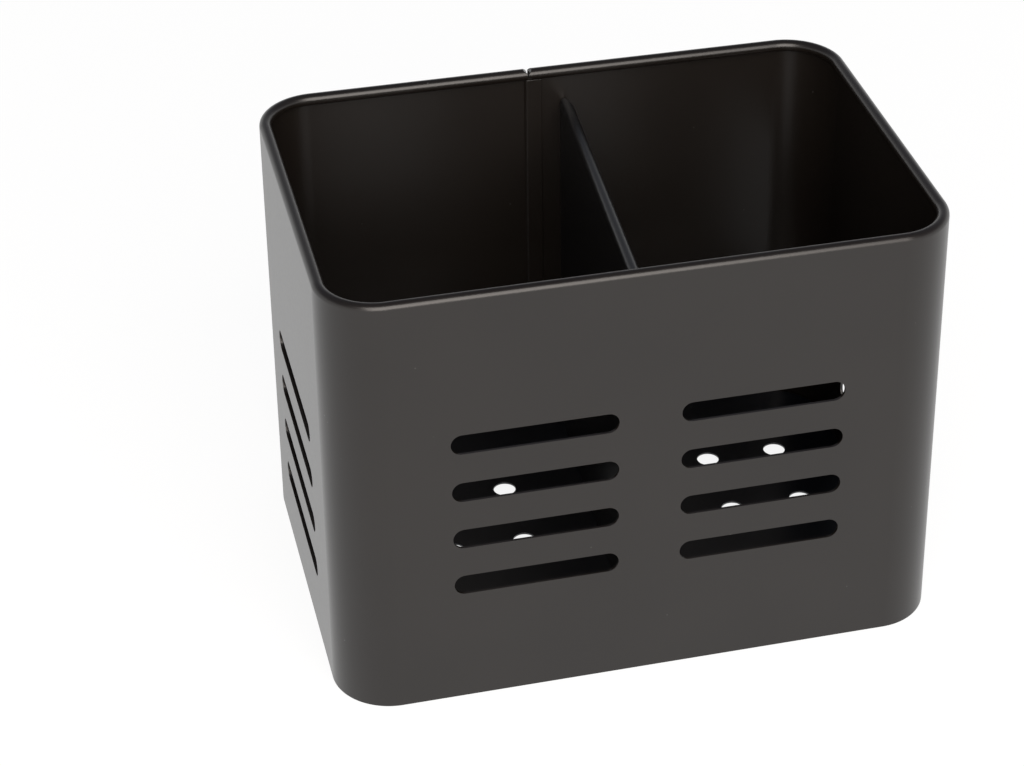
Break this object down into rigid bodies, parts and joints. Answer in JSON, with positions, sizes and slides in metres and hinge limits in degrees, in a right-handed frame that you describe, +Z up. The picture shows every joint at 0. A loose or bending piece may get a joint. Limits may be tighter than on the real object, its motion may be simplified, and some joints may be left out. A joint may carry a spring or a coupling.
{
  "type": "cutlery caddy",
  "caption": "Open-topped cutlery caddy of black coated sheet steel: slotted rounded walls with a curled rim, a divider that makes two compartments, and a drained floor.",
  "frame": {"origin": "middle of the base, on the surface that the caddy stands on", "axes": "+X to the right along the front wall, +Y from the front wall to the back wall, +Z up"},
  "size_m": [0.17, 0.118, 0.1275],
  "materials": {
    "sleeve_coat": "satin powder coat",
    "pan_coat": "satin powder coat",
    "divider_coat": "satin powder coat"
  },
  "bodies": {
    "root": {"wall_sleeve": "sleeve_coat", "floor_pan": "pan_coat", "divider": "divider_coat"}
  },
  "joints": []
}
